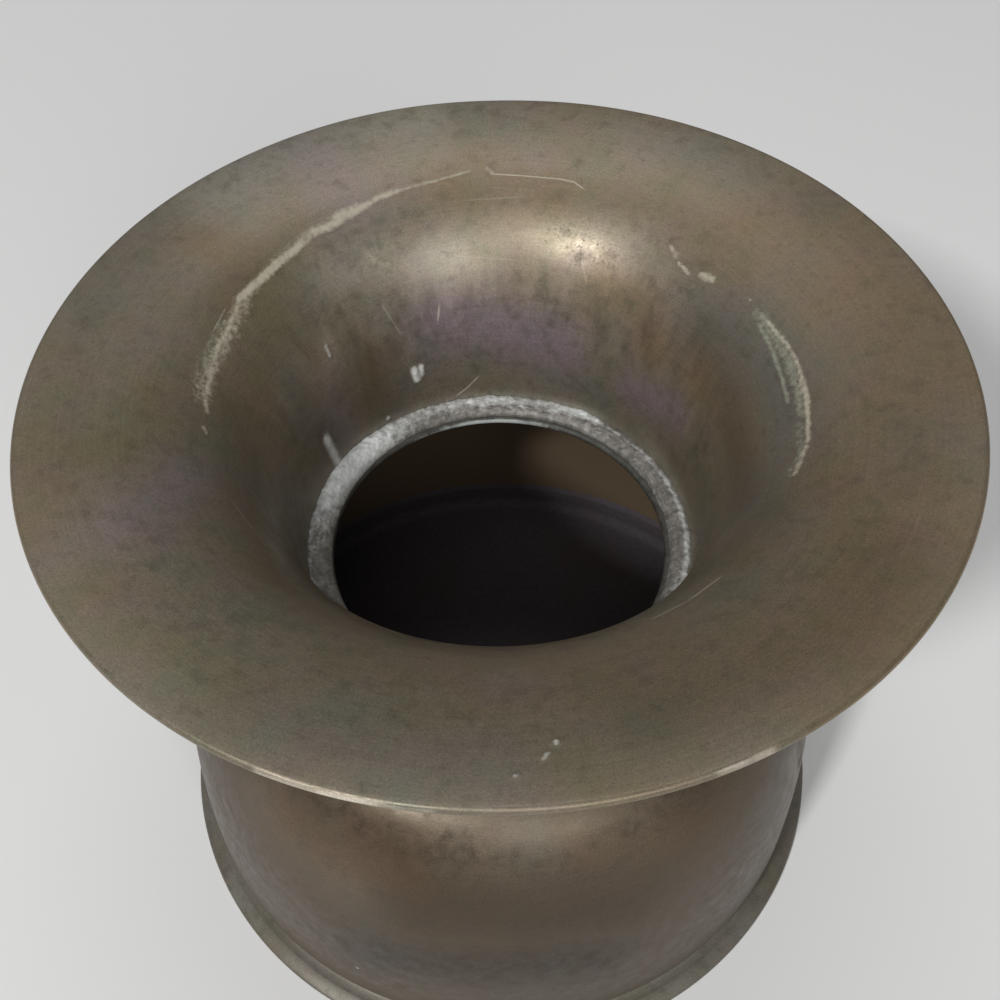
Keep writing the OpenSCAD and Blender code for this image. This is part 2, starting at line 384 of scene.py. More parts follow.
# films and stains on the mouth: widths are millimetres to the side of a line of places in the photo
mouthFilms = dict(
    lime=[
        dict(width=0.8, strength=0.8, seen=[(470, 171), (446, 178), (423, 184), (397, 191)]),
        dict(width=1.5, strength=0.9, seen=[(397, 191), (375, 199), (364, 206)]),
        dict(width=2.3, strength=0.9, seen=[(358, 208), (345, 213), (336, 218)]),
        dict(width=1.9, strength=1.0, seen=[(364, 206), (332, 225), (310, 234), (297, 248), (278, 263),
                                            (260, 280), (241, 298)]),
        dict(width=1.5, strength=0.85, seen=[(241, 298), (234, 315), (228, 330), (219, 345)]),
        dict(width=4.5, strength=0.62, seen=[(244, 302), (236, 320), (222, 348), (211, 372), (203, 398)]),
        dict(width=3.6, strength=0.5, seen=[(330, 222), (300, 240), (268, 270), (244, 300)]),
        dict(width=1.3, strength=0.85, seen=[(219, 345), (212, 367), (207, 392)]),
        dict(width=1.2, strength=0.85, seen=[(205, 400), (207, 411)]),
        dict(width=1.0, strength=0.8, seen=[(203, 427), (206, 432)]),
        dict(width=1.1, strength=0.9, seen=[(487, 168), (492, 172)]),
        dict(width=3.2, strength=0.5, seen=[(367, 252), (378, 262), (398, 268)]),
        dict(width=1.2, strength=0.75, seen=[(671, 246), (676, 256)]),
        dict(width=1.0, strength=0.85, seen=[(679, 263), (688, 273)]),
        dict(width=1.9, strength=0.85, seen=[(702, 275), (712, 280)]),
        dict(width=0.7, strength=0.8, seen=[(750, 300)]),
        dict(width=1.0, strength=0.8, seen=[(768, 322), (777, 333), (787, 344), (797, 362),
                                            (803, 380), (809, 402)]),
        dict(width=1.2, strength=0.9, seen=[(801, 380), (806, 396), (808, 420), (808, 441)]),
        dict(width=1.3, strength=0.75, seen=[(806, 446), (801, 460), (795, 474)]),
    ],
    verdigris=[
        dict(width=6.0, strength=0.6, seen=[(226, 330), (212, 352), (200, 385)]),
        dict(width=3.2, strength=0.72, seen=[(762, 318), (776, 336), (788, 358), (797, 385), (803, 412)]),
        dict(width=1.2, strength=0.8, seen=[(760, 326), (772, 350), (782, 378), (788, 402)]),
        dict(width=3.0, strength=0.6, seen=[(756, 314), (770, 332)]),
        dict(width=3.0, strength=0.6, seen=[(800, 425), (800, 455), (790, 474)]),
        dict(width=2.2, strength=0.5, seen=[(662, 614), (690, 598), (722, 576)]),
        dict(width=3.0, strength=0.4, seen=[(440, 236), (446, 250), (438, 264)]),
        dict(width=2.4, strength=0.45, seen=[(933, 560)]),
    ],
    white=[
        dict(width=1.9, strength=0.9, seen=[(414, 370), (417, 379)]),
        dict(width=1.3, strength=0.9, seen=[(421, 366), (422, 374)]),
        dict(width=2.6, strength=0.85, seen=[(326, 439), (332, 451), (338, 463)]),
        dict(width=1.2, strength=0.6, seen=[(326, 346), (330, 356)]),
        dict(width=1.2, strength=0.75, seen=[(556, 742)]),
        dict(width=1.0, strength=0.6, seen=[(548, 753), (543, 759)]),
        dict(width=0.9, strength=0.7, seen=[(516, 776)]),
        dict(width=1.2, strength=0.9, seen=[(388, 418)]),
    ],
    # the pale film: most strokes are pale stains, and the strokes marked below are painted light
    pale=[
        dict(width=9.0, strength=0.5, seen=[(330, 275), (370, 262), (410, 262), (450, 250)]),
        dict(width=5.0, strength=0.3, seen=[(327, 345), (333, 360)]),
        dict(width=3.0, strength=0.4, seen=[(381, 325), (383, 340)]),
        dict(width=4.0, strength=0.45, seen=[(440, 236), (446, 256)]),
        # painted sheen: a lighter band across the funnel's back
        dict(width=7.0, strength=0.25, seen=[(440, 245), (540, 232), (640, 236)]),
        dict(width=5.0, strength=0.35, seen=[(645, 438), (662, 460), (680, 500)]),
        # painted light: the next two strokes make the far rim lighter, most at its left
        dict(width=15, strength=0.65, seen=[(215, 190), (270, 160), (350, 132), (420, 120)]),
        dict(width=12, strength=0.25, seen=[(430, 118), (560, 118), (690, 150), (760, 180)]),
    ],
    slate=[
        dict(width=12, strength=0.6, seen=[(690, 300), (740, 330), (775, 380), (785, 440), (760, 500)]),
        dict(width=9, strength=0.6, seen=[(290, 380), (300, 420), (330, 430)]),
        dict(width=11, strength=0.4, seen=[(281, 735), (340, 725), (372, 750), (440, 765), (490, 770)]),
        dict(width=16, strength=0.35, seen=[(90, 300), (150, 220), (240, 160), (330, 125)]),
        dict(width=9, strength=0.4, seen=[(640, 265), (660, 275)]),
        dict(width=10, strength=0.3, seen=[(700, 150), (800, 205)]),
        dict(width=3, strength=0.5, seen=[(352, 736), (362, 728)]),
    ],
    olive=[
        dict(width=9, strength=0.55, seen=[(262, 290), (285, 320), (262, 350)]),
        dict(width=14, strength=0.4, seen=[(60, 420), (110, 445), (170, 430)]),
        dict(width=10, strength=0.4, seen=[(170, 640), (230, 700)]),
        dict(width=12, strength=0.3, seen=[(600, 760), (680, 745)]),
    ],
    amber=[
        dict(width=10, strength=0.6, seen=[(600, 290), (640, 300), (650, 340)]),
        dict(width=9, strength=0.4, seen=[(700, 380), (740, 410), (745, 445)]),
        dict(width=7, strength=0.4, seen=[(375, 350), (372, 400)]),
        dict(width=9, strength=0.45, seen=[(215, 245), (235, 265), (225, 300)]),
        dict(width=26, strength=0.4, seen=[(850, 640), (915, 530), (925, 420), (870, 300), (790, 225)]),
        dict(width=14, strength=0.35, seen=[(640, 690), (720, 680), (800, 650)]),
        dict(width=12, strength=0.3, seen=[(450, 190), (540, 195)]),
    ],
    purple=[
        dict(width=12, strength=0.75, seen=[(440, 320), (500, 325), (555, 345)]),
        dict(width=8, strength=0.6, seen=[(635, 395), (675, 410)]),
        dict(width=12, strength=0.35, seen=[(320, 165), (352, 195)]),
        dict(width=12, strength=0.35, seen=[(110, 530), (185, 480)]),
        dict(width=8, strength=0.3, seen=[(330, 380), (350, 440)]),
        dict(width=6, strength=0.35, seen=[(505, 682)]),
    ],
    # painted shade: these strokes darken the funnel's walls, the rim at left and right and the near rim,
    # where they lie in shade
    shade=[
        dict(width=14, strength=0.4, seen=[(240, 430), (262, 510), (310, 590)]),
        dict(width=10, strength=0.45, seen=[(370, 370), (385, 410)]),
        dict(width=9, strength=0.4, seen=[(700, 330), (720, 350)]),
        dict(width=12, strength=0.4, seen=[(720, 560), (760, 520)]),
        dict(width=14, strength=0.4, seen=[(640, 735), (750, 695), (840, 640), (900, 560)]),
        dict(width=14, strength=0.2, seen=[(60, 450), (90, 360), (150, 290)]),
        dict(width=12, strength=0.2, seen=[(910, 480), (925, 400), (900, 330)]),
        dict(width=10, strength=0.55, seen=[(745, 500), (730, 400), (700, 340)]),
        dict(width=14, strength=0.28, seen=[(230, 715), (400, 765), (560, 772), (690, 735)]),
    ],
    streaked=[
        dict(width=15, strength=1.0, seen=[(370, 340), (450, 305), (560, 300), (650, 340)]),
        dict(width=12, strength=0.8, seen=[(640, 280), (690, 370), (700, 440)]),
        dict(width=12, strength=0.6, seen=[(280, 420), (300, 360), (340, 310)]),
    ],
    # a painted highlight, near white, along the bead at its left and right
    rubbed=[
        dict(width=1.2, strength=0.75, seen=[(318, 793), (345, 799), (372, 804)]),
        dict(width=1.2, strength=0.4, seen=[(250, 771), (318, 793)]),
        dict(width=1.2, strength=0.3, seen=[(372, 804), (430, 809)]),
        dict(width=1.2, strength=0.4, seen=[(722, 770), (748, 762), (772, 752)]),
    ],
    pitted=[
        dict(width=6, strength=0.8, seen=[(556, 222), (590, 226)]),
        dict(width=4, strength=0.6, seen=[(575, 245), (605, 243)]),
        dict(width=3, strength=0.5, seen=[(576, 262), (645, 255)]),
    ],
)
mouthScratches = [
    dict(width=0.28, strength=0.85, seen=[(459, 394), (468, 387), (476, 379)]),
    dict(width=0.22, strength=0.55, seen=[(494, 174), (526, 176), (560, 179), (574, 182), (581, 187)]),
    dict(width=0.3, strength=0.3, seen=[(384, 308), (391, 319), (399, 331)]),
    dict(width=0.35, strength=0.65, seen=[(439, 309), (438, 318)]),
    dict(width=0.25, strength=0.45, seen=[(224, 311), (215, 328)]),
    dict(width=0.35, strength=0.6, seen=[(656, 617), (688, 601), (718, 579)]),
    dict(width=0.25, strength=0.14, seen=[(470, 200), (520, 197)]),
    dict(width=0.25, strength=0.12, seen=[(458, 256), (515, 260)]),
    dict(width=0.25, strength=0.18, seen=[(582, 262), (586, 280)]),
    dict(width=0.3, strength=0.3, seen=[(235, 505), (252, 528)]),
]


# tin has crept up from the solder, the underside of the saucer, which faces down, is painted in shade,
# and a painted highlight is laid on the bead; the lime and the splashes of solder stand proud of the brass
def crustOnMouth():
    s = mouthShape
    painted = {film: brush(mouth, film, strokes) for film, strokes in mouthFilms.items()}
    angle, r, z = roundPlaces(mouth)
    creep = np.clip(z - solderTop(angle), 0, 1)
    keepOn(mouth.data, "tinned", np.exp(-(creep / s["tinCreep"]) ** 2))
    out = (r - beadC[0]) / beadR
    under = (pointsOf(mouth.data, "normal")[:, 2] < 0) & (out < -1)
    keepOn(mouth.data, "shade", np.where(under, s["paintedUnderShade"], painted["shade"]))
    keepOn(mouth.data, "rubbed", painted["rubbed"] * (out > s["beadHighlightFrom"]))
    crust = np.clip(painted["lime"] * 2 - 0.8, 0, 1) * s["limeRelief"]
    crust += np.clip(painted["white"] * 2 - 0.6, 0, 1) * s["splashRelief"]
    thick = np.flatnonzero(crust)
    crust[thick] *= 0.9 + lumps(pointsOf(mouth.data)[thick], s["crumbSize"])
    press(mouth, crust)
    scratch(mouth, mouthScratches)
    keepOn(mouth.data, "worn", np.clip((out - s["wearFrom"]) / (1 - s["wearFrom"]), 0, 1))


crustOnMouth()
print("mouth spun and crusted")


# bowl: flange, heel, dome wall, shoulder and neck
bowlShape = dict(
    sheet=0.8 * mm, fullness=2.6, heelR=6 * mm, flangeW=8 * mm, shoulderDrop=12 * mm, neckCurveR=5 * mm,
    roundSteps=600, wallSteps=120, outOfTrue=0.25 * mm, dentFrom=0.65, dentDepth=0.9 * mm,
    knockDepth=0.35 * mm,
)


def bowlProfile():
    s = bowlShape
    heelC = (bowlHigh.x - s["heelR"], bowlLow.z + s["heelR"])
    shoulder = (neckR + s["neckCurveR"], collarZ - s["shoulderDrop"])
    power = 2 / s["fullness"]
    wall = []
    for i in range(1, s["wallSteps"]):
        a = math.radians(90 * i / s["wallSteps"])
        wall.append((
            shoulder[0] + (bowlHigh.x - shoulder[0]) * math.cos(a) ** power,
            heelC[1] + (shoulder[1] - heelC[1]) * math.sin(a) ** power,
        ))
    curveC = (shoulder[0], shoulder[1] + s["neckCurveR"])
    path = (
        [(heelC[0] - s["flangeW"], bowlLow.z)] + arc(heelC, s["heelR"], -90, 0, 16) + wall
        + arc(curveC, s["neckCurveR"], -90, -180, 10) + [(neckR, bowlHigh.z)]
    )
    inside = offset(path, s["sheet"])
    inside[0] = (path[0][0], path[0][1] + s["sheet"])
    inside[-1] = (neckR - s["sheet"], bowlHigh.z)
    return path + inside[::-1]


def wavyBowl(angle, r, z):
    rise = (z - bowlLow.z) / (bowlHigh.z - bowlLow.z)
    body = np.clip(np.sin(np.clip(rise, 0, 1) * math.pi), 0, 1)
    wave = np.sin(2 * angle + 1.0) + 0.6 * np.sin(3 * angle + 0.4)
    return angle, r - bowlShape["outOfTrue"] * body * (1.6 - wave), z


bowl = spin("spunBowl", bowlProfile(), bowlShape["roundSteps"], wavyBowl)
bpy.context.view_layer.update()

bowlFilms = dict(
    dent=[
        dict(width=5, strength=0.9, seen=[(799, 746), (801, 770), (799, 788)]),
        dict(width=14, strength=0.5, seen=[(700, 870), (720, 900)]),
        dict(width=12, strength=0.4, seen=[(360, 850), (380, 880)]),
    ],
    pale=[
        dict(width=1.0, strength=0.8, seen=[(795, 750), (797, 770)]),
        dict(width=4, strength=0.35, seen=[(790, 760), (798, 775)]),
        # painted highlight: the next two strokes lighten the bowl just under the rim and on its left
        dict(width=13, strength=0.2, seen=[(470, 835), (560, 842), (640, 832)]),
        dict(width=13, strength=0.22, seen=[(262, 800), (300, 845), (350, 880)]),
    ],
    white=[
        dict(width=0.9, strength=1.0, seen=[(353, 965), (358, 968)]),
        dict(width=0.5, strength=0.8, seen=[(533, 924)]),
    ],
    amber=[
        dict(width=13, strength=0.5, seen=[(290, 820), (330, 850), (400, 890)]),
        dict(width=12, strength=0.35, seen=[(590, 855), (700, 840)]),
    ],
    slate=[
        dict(width=16, strength=0.15, seen=[(380, 965), (470, 985), (560, 990), (660, 975)]),
        dict(width=9, strength=0.4, seen=[(784, 765), (775, 820)]),
    ],
    # painted shade: the bowl grows darker towards its bottom
    shade=[
        dict(width=16, strength=0.5, seen=[(420, 915), (520, 920), (620, 910)]),
        dict(width=15, strength=0.85, seen=[(370, 955), (480, 970), (600, 960)]),
    ],
)


# one sharp dent and shallow knocks, and the inner side of the sheet, which no cloth has reached
def knockBowl():
    s = bowlShape
    painted = {film: brush(bowl, film, strokes) for film, strokes in bowlFilms.items()}
    outerCount = len(bowl.data.vertices) // s["roundSteps"] // 2
    row = np.arange(len(bowl.data.vertices)) % (2 * outerCount)
    keepOn(bowl.data, "inside", row >= outerCount)
    depth = np.where(painted["dent"] > s["dentFrom"], s["dentDepth"], s["knockDepth"])
    press(bowl, -depth * painted["dent"])


knockBowl()
print("bowl spun and knocked")


# throat: the collar's rolled lip, and the lumpy ring of solder above it
throatShape = dict(
    sheet=0.8 * mm, lipR=1.6 * mm, cornerR=0.9 * mm, film=0.05 * mm, roundSteps=720,
    wallSteps=7, crownSteps=34, lumpSize=3.2 * mm, lump=0.1, crumbSize=1.1 * mm, crumb=0.07,
    overhang=1.25 * mm, runs=((165, 38, 1.0), (225, 32, 0.9)),
)


def collarProfile():
    s = throatShape
    outR, top = collarHigh.x, collarHigh.z
    path = (
        [(outR, collarLow.z)] + arc((outR - s["cornerR"], top - s["cornerR"]), s["cornerR"], 0, 90, 8)
        + arc((collarIn + s["lipR"], top - s["lipR"]), s["lipR"], 90, 180, 12)
    )
    return path + offset(path, s["sheet"])[::-1]


def ringProfile():
    s = throatShape
    base = collarIn + s["lipR"]
    outR, low = ringHigh.x, ringLow.z
    lean = math.radians(mouthShape["funnelLean"])
    height = ringHigh.z - low
    wall = [(outR - (height - h) * math.tan(lean) - s["film"], low + h)
            for h in np.linspace(0, height, s["wallSteps"])]
    crown = [(wall[-1][0] - (wall[-1][0] - base) * math.cos(a), low + height * math.sin(a))
             for a in np.radians(np.linspace(88, 0, s["crownSteps"]))]
    return wall + crown


# how far in a point of the ring is: 0 at its outer edge, 1 at the top of the collar's lip
def ringAcross(r):
    return (ringHigh.x - r) / (ringHigh.x - collarIn - throatShape["lipR"])


# on the left the solder has run over the collar's lip; elsewhere it stops at the top of the lip
def lumpyRing(angle, r, z):
    s = throatShape
    low, height = ringLow.z, ringHigh.z - ringLow.z
    up = np.clip((z - low) / height, 0, 1)
    places = turnedPoints(angle, r, z)
    lump = s["lump"] * lumps(places, s["lumpSize"]) + s["crumb"] * lumps(places, s["crumbSize"])
    share = np.clip(solderShare(angle) + lump.reshape(r.shape), 0.3, 0.99)
    runs = sum(strength * swell(angle, at, width) for at, width, strength in s["runs"])
    run = s["overhang"] * np.clip(ringAcross(r), 0, 1) ** 3 * runs
    return angle, r - run, low + up * height * share


collar = spin("throatCollar", collarProfile(), throatShape["roundSteps"])
solderRing = spin("throatSolder", ringProfile(), throatShape["roundSteps"], lumpyRing)


# bands of paler solder: each has its angle and spread in degrees, its place and spread from the ring's
# outer edge to its inner one, and its strength; the collar's lip gets a painted highlight in one place
paleBands = [
    (149, 24, 0.5, 0.8, 1.45), (92, 26, 0.3, 0.35, 0.85), (62, 9, 0.2, 0.35, 0.8),
    (10, 42, 0.22, 0.15, 0.7), (15, 50, 1.0, 0.12, 0.35), (205, 30, 0.1, 0.12, 0.45),
    (-30, 20, 0.5, 0.4, 0.35),
]
paintedLipHighlight = dict(at=93, width=24, spread=0.6 * mm, strength=1.2)


def paintThroat():
    angle, r, _ = roundPlaces(solderRing)
    pale = sum(strength * swell(angle, at, width) * np.exp(-((ringAcross(r) - row) / spread) ** 2)
               for at, width, row, spread, strength in paleBands)
    keepOn(solderRing.data, "pale", pale)
    # a painted highlight along the collar's lip, at its back
    angle, r, _ = roundPlaces(collar)
    shine = np.exp(-((r - collarIn) / paintedLipHighlight["spread"]) ** 2)
    shine *= paintedLipHighlight["strength"] * swell(angle, paintedLipHighlight["at"], paintedLipHighlight["width"])
    keepOn(collar.data, "pale", shine)


paintThroat()
print("throat made")


# foot: hem, rolled edge, sloping band, step, cove and shelf
footShape = dict(
    sheet=0.9 * mm, rollR=1.3 * mm, bandW=4.2 * mm, stepH=4.4 * mm, coveW=7.1 * mm, shelfW=12 * mm,
    hemW=5 * mm, rollSteps=14, coveSteps=15, roundSteps=540,
)


def footProfile():
    s = footShape
    rollC = (footHigh.x - s["rollR"], s["rollR"])
    stepR = rollC[0] - s["bandW"] + s["rollR"]
    bandAngle = 90 - math.degrees(math.atan2(s["stepH"] - 2 * s["rollR"], s["bandW"] - s["rollR"]))
    coveTop = footHigh.z - s["sheet"] / 2
    cove = [(stepR - s["coveW"] * math.cos(a), coveTop - (coveTop - s["stepH"]) * math.sin(a))
            for a in np.radians(np.linspace(90, 0, s["coveSteps"]))]
    shelf = stepR - s["coveW"]
    path = (
        [(rollC[0] - s["hemW"], 0)] + arc(rollC, s["rollR"], -90, bandAngle, s["rollSteps"]) + cove
        + [(shelf - s["sheet"] / 2, footHigh.z), (shelf - s["shelfW"], footHigh.z)]
    )
    return path + offset(path, s["sheet"])[::-1]


foot = spin("spunFoot", footProfile(), footShape["roundSteps"])
print("foot spun")


# starts a material, and gives the place on the piece that its patterns are laid out by
def startMaterial(name):
    material = bpy.data.materials.new(name)
    material.use_nodes = True
    material.node_tree.nodes.clear()
    return material, addNode(material, "ShaderNodeTexCoord", {}, {}).outputs["Object"]


def closeMaterial(material, look, colour, metal, rough, height):
    bump = addNode(material, "ShaderNodeBump", {}, {
        "Height": height, "Strength": look["relief"], "Distance": look["reliefDepth"]})
    shader = addNode(material, "ShaderNodeBsdfPrincipled", {}, {
        "Base Color": colour, "Metallic": metal, "Roughness": rough, "Normal": bump.outputs[0]})
    addNode(material, "ShaderNodeOutputMaterial", {}, {"Surface": shader.outputs[0]})
    return material


# marks of a tool or a cloth: noise drawn out round the piece, and fine along its profile
def drawnMarks(material, place, gap, length, detail, roughness):
    along = addNode(material, "ShaderNodeAttribute", {"attribute_name": "along"}, {}).outputs["Fac"]
    split = addNode(material, "ShaderNodeSeparateXYZ", {}, {0: place}).outputs
    joined = addNode(material, "ShaderNodeCombineXYZ", {}, {0: along, 1: split[0], 2: split[1]})
    drawnOut = addNode(material, "ShaderNodeVectorMath", {"operation": "MULTIPLY"}, {
        0: joined.outputs[0], 1: (1 / gap, 1 / length, 1 / length)})
    return addNode(material, "ShaderNodeTexNoise", {}, {
        "Vector": drawnOut.outputs[0], "Scale": 1.0, "Detail": detail, "Roughness": roughness}).outputs[0]


# finishes of the spun brass: patches, tints that were painted on, among them painted shade, painted light
# and a painted highlight on the bead, and crusts that hide the metal; a tint has its colour and strength,
# and a crust its colour, its raggedness and where it starts
mouthLook = dict(
    stops=[(0.34, "#7b6e57"), (0.5, "#827867"), (0.66, "#7e7b70")], dark="#50483c", spotted=0.5,
    stains=[(0.38, "#6b6b52"), (0.5, "#80725c"), (0.62, "#806c64")], stained=0.35, stainSize=14 * mm,
    patchSize=38 * mm, mottleSize=5 * mm, grainSize=0.45 * mm, lineGap=0.6 * mm, lineLength=45 * mm,
    marked=True, streaksRound=17, streakLength=14 * mm, pitSize=0.9 * mm, pitRough=0.75,
    scratched="#cfc9b8", crumbSize=1.6 * mm, crustRough=0.85, roughness=0.4, metallic=0.5,
    relief=0.1, reliefDepth=0.2 * mm,
    tints=dict(
        worn=("#a5926f", 0.9), pale=("#b4ae9e", 0.8), slate=("#666c6e", 0.8), olive=("#6a6844", 0.8),
        amber=("#7a5a30", 0.8), purple=("#938090", 0.9), shade=("#463e32", 0.9), tinned=("#8a887f", 0.6),
        rubbed=("#fff3e0", 1.0),
    ),
    crusts=dict(verdigris=("#8f9380", 0.6, 0.45), lime=("#aaa391", 0.6, 0.4), white=("#cfcfca", 0.3, 0.36)),
)
# the bowl's inside is laid on as a crust, so it is as dull and brown as old dirt
bowlLook = dict(
    mouthLook, stops=[(0.34, "#504130"), (0.5, "#56493a"), (0.66, "#554d41")], dark="#352c21", marked=False,
    stains=[(0.38, "#504a39"), (0.5, "#564938"), (0.62, "#5a493c")], spotted=0.12,
    tints=dict(
        pale=("#a39a88", 0.8), slate=("#555856", 0.8), amber=("#5c4025", 0.8), shade=("#2c241a", 0.9),
    ),
    crusts=dict(inside=("#6c5a45", 0.1, 0.3), white=("#d2d2cd", 0.3, 0.42)),
)
footLook = dict(
    mouthLook, stops=[(0.34, "#6b665b"), (0.5, "#737068"), (0.66, "#797770")], dark="#4f4a42", marked=False,
    stained=0.2, spotted=0.3, tints={}, crusts={}, roughness=0.48, patchSize=24 * mm,
)
baseLook = dict(mouthLook, tints={}, crusts={}, marked=False, roughness=0.5, patchSize=30 * mm)


# old spun brass: a thin brown tarnish over yellow metal, so its shine is soft and broad, with faint
# rings left by the spinning tool, and dull pits and crusts that break the shine up
def patinatedBrass(name, look):
    material, place = startMaterial(name)
    patch = addNode(material, "ShaderNodeTexNoise", {}, {
        "Vector": place, "Scale": 1 / look["patchSize"], "Detail": 5.0, "Roughness": 0.55}).outputs[0]
    mottle = addNode(material, "ShaderNodeTexNoise", {}, {
        "Vector": place, "Scale": 1 / look["mottleSize"], "Detail": 5.0, "Roughness": 0.65}).outputs[0]
    grain = addNode(material, "ShaderNodeTexNoise", {}, {
        "Vector": place, "Scale": 1 / look["grainSize"], "Detail": 2.0, "Roughness": 0.6}).outputs[0]
    lines = drawnMarks(material, place, look["lineGap"], look["lineLength"], 2.0, 0.5)

    colour = addNode(material, "ShaderNodeValToRGB", {"stops": look["stops"]}, {"Fac": patch}).outputs[0]
    cloud = addNode(material, "ShaderNodeTexNoise", {}, {
        "Vector": place, "Scale": 1 / look["stainSize"], "Detail": 6.0, "Roughness": 0.65}).outputs[0]
    stains = addNode(material, "ShaderNodeValToRGB", {"stops": look["stains"]}, {"Fac": cloud}).outputs[0]
    colour = addNode(material, "ShaderNodeMix", {"data_type": "RGBA"}, {
        0: look["stained"], 6: colour, 7: stains}).outputs[2]
    uneven = addNode(material, "ShaderNodeMapRange", {}, {
        "Value": mottle, "From Min": 0.3, "From Max": 0.7, "To Min": 0.55, "To Max": 1.0}).outputs[0]
    for film, (tone, strength) in look["tints"].items():
        painted = addNode(material, "ShaderNodeAttribute", {"attribute_name": film}, {}).outputs["Fac"]
        share = addNode(material, "ShaderNodeMath", {"operation": "MULTIPLY"}, {0: painted, 1: uneven})
        share = addNode(material, "ShaderNodeMath", {"operation": "MULTIPLY"}, {
            0: share.outputs[0], 1: strength})
        colour = addNode(material, "ShaderNodeMix", {"data_type": "RGBA"}, {
            0: share.outputs[0], 6: colour, 7: linear(tone)}).outputs[2]
    spots = addNode(material, "ShaderNodeMapRange", {}, {
        "Value": mottle, "From Min": 0.54, "From Max": 0.74,
        "To Min": 0.0, "To Max": look["spotted"]}).outputs[0]
    colour = addNode(material, "ShaderNodeMix", {"data_type": "RGBA"}, {
        0: spots, 6: colour, 7: linear(look["dark"])}).outputs[2]
    for source, spread in ((grain, 0.22), (mottle, 0.14), (lines, 0.05)):
        tone = addNode(material, "ShaderNodeMapRange", {}, {
            "Value": source, "From Min": 0.3, "From Max": 0.7, "To Min": 1 - spread, "To Max": 1 + spread})
        colour = addNode(material, "ShaderNodeMix", {"data_type": "RGBA", "blend_type": "MULTIPLY"}, {
            0: 1.0, 6: colour, 7: tone.outputs[0]}).outputs[2]
    rough = addNode(material, "ShaderNodeMapRange", {}, {
        "Value": mottle, "From Min": 0.3, "From Max": 0.7,
        "To Min": look["roughness"] - 0.08, "To Max": look["roughness"] + 0.12}).outputs[0]
    metal = addNode(material, "ShaderNodeMapRange", {}, {
        "Value": patch, "From Min": 0.3, "From Max": 0.7,
        "To Min": look["metallic"] - 0.05, "To Max": look["metallic"] + 0.05}).outputs[0]
    height = addNode(material, "ShaderNodeMath", {"operation": "MULTIPLY_ADD"}, {
        0: lines, 1: 0.35, 2: grain}).outputs[0]

    # dirt has run down the funnel in streaks; pits are dark and dull, and thickest in the worn shine;
    # scratches are fine bright lines
    if look["marked"]:
        flat = addNode(material, "ShaderNodeVectorMath", {"operation": "MULTIPLY"}, {
            0: place, 1: (1, 1, 0)})
        around = addNode(material, "ShaderNodeVectorMath", {"operation": "NORMALIZE"}, {0: flat.outputs[0]})
        down = addNode(material, "ShaderNodeVectorMath", {"operation": "MULTIPLY"}, {
            0: place, 1: (0, 0, 1 / look["streakLength"])})
        fanned = addNode(material, "ShaderNodeVectorMath", {"operation": "MULTIPLY_ADD"}, {
            0: around.outputs[0], 1: (look["streaksRound"], look["streaksRound"], 0), 2: down.outputs[0]})
        runs = addNode(material, "ShaderNodeTexNoise", {}, {
            "Vector": fanned.outputs[0], "Scale": 1.0, "Detail": 5.0, "Roughness": 0.55}).outputs[0]
        tone = addNode(material, "ShaderNodeMapRange", {}, {
            "Value": runs, "From Min": 0.3, "From Max": 0.7, "To Min": 0.78, "To Max": 1.22}).outputs[0]
        region = addNode(material, "ShaderNodeAttribute", {"attribute_name": "streaked"}, {}).outputs["Fac"]
        colour = addNode(material, "ShaderNodeMix", {"data_type": "RGBA", "blend_type": "MULTIPLY"}, {
            0: region, 6: colour, 7: tone}).outputs[2]
        region = addNode(material, "ShaderNodeAttribute", {"attribute_name": "pitted"}, {}).outputs["Fac"]
        speck = addNode(material, "ShaderNodeTexNoise", {}, {
            "Vector": place, "Scale": 1 / look["pitSize"], "Detail": 4.0, "Roughness": 0.75}).outputs[0]
        reached = addNode(material, "ShaderNodeMath", {"operation": "MULTIPLY_ADD"}, {
            0: region, 1: 0.1, 2: speck}).outputs[0]
        pits = addNode(material, "ShaderNodeMapRange", {}, {
            "Value": reached, "From Min": 0.58, "From Max": 0.78, "To Min": 0.0, "To Max": 0.6}).outputs[0]
        colour = addNode(material, "ShaderNodeMix", {"data_type": "RGBA"}, {
            0: pits, 6: colour, 7: linear(look["dark"])}).outputs[2]
        rough = addNode(material, "ShaderNodeMix", {"data_type": "FLOAT"}, {
            0: pits, 2: rough, 3: look["pitRough"]}).outputs[0]
        side, near = [addNode(material, "ShaderNodeAttribute", {"attribute_name": kept}, {}).outputs["Fac"]
                      for kept in ("scratchSide", "scratchNear")]
        width = addNode(material, "ShaderNodeMath", {"operation": "ABSOLUTE"}, {0: side}).outputs[0]
        line = addNode(material, "ShaderNodeMapRange", {}, {
            "Value": width, "From Min": 0.6, "From Max": 1.4, "To Min": 1.0, "To Max": 0.0})
        for share in (near, uneven):
            line = addNode(material, "ShaderNodeMath", {"operation": "MULTIPLY"}, {
                0: line.outputs[0], 1: share})
        colour = addNode(material, "ShaderNodeMix", {"data_type": "RGBA"}, {
            0: line.outputs[0], 6: colour, 7: linear(look["scratched"])}).outputs[2]

